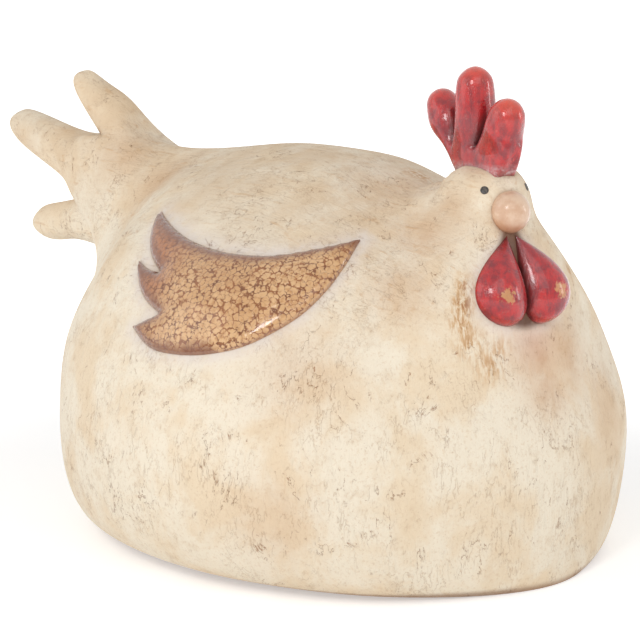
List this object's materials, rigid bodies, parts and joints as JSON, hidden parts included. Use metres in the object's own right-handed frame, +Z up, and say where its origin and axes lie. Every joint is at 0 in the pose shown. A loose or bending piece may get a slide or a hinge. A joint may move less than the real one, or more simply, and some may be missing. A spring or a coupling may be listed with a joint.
{
  "type": "rooster sculpture",
  "caption": "Plump seated rooster sculpture in glazed ceramic with a red comb and wattles, relief wings and a fanned tail, resting on a flat base.",
  "frame": {"origin": "centre of the bounding box in X and Y, at the flat base", "axes": "-Y the way the bird faces, +Y towards the tail, +X its left side, +Z up"},
  "size_m": [0.3022, 0.4402, 0.2584],
  "materials": {
    "slip_body": "matt cream slip over buff clay, with ochre stains and fine dark cracks",
    "red_glaze": "glossy deep red glaze, thin and pink on the edges",
    "brown_glaze": "glossy reactive glaze, tan cells in a brown net",
    "beak_clay": "satin peach-coloured slip",
    "eye_glaze": "dark grey dot"
  },
  "bodies": {
    "root": {"rooster": "slip_body"}
  },
  "joints": []
}
